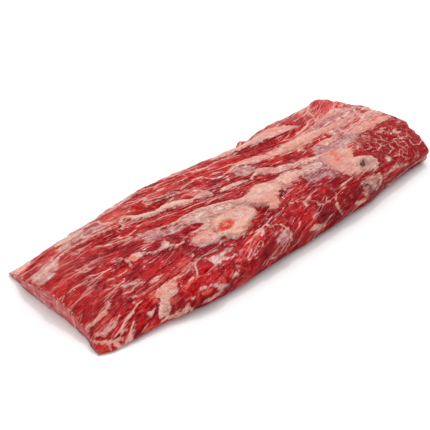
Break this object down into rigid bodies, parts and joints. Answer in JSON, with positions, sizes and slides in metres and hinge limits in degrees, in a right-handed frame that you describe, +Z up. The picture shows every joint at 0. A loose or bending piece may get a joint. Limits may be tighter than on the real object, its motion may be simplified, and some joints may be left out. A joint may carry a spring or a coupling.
{
  "type": "raw beef ribeye cap",
  "caption": "Long thin slab of raw beef rib cap: grooved red lean with raised fat seams and pads, a knife-cut thin end and a thick ragged far end, lying on its flat underside.",
  "frame": {"origin": "on the surface it lies on, under the middle of the slab's box", "axes": "+X along the slab, from the thin cut end to the thick far end; +Y from the front edge to the back edge; +Z up"},
  "size_m": [0.4212, 0.1578, 0.0314],
  "materials": {
    "raw_beef": "moist raw beef: deep red lean with pale fat seams, pads and marbling, and grey-purple silverskin"
  },
  "bodies": {
    "root": {"rib_cap": "raw_beef"}
  },
  "joints": []
}
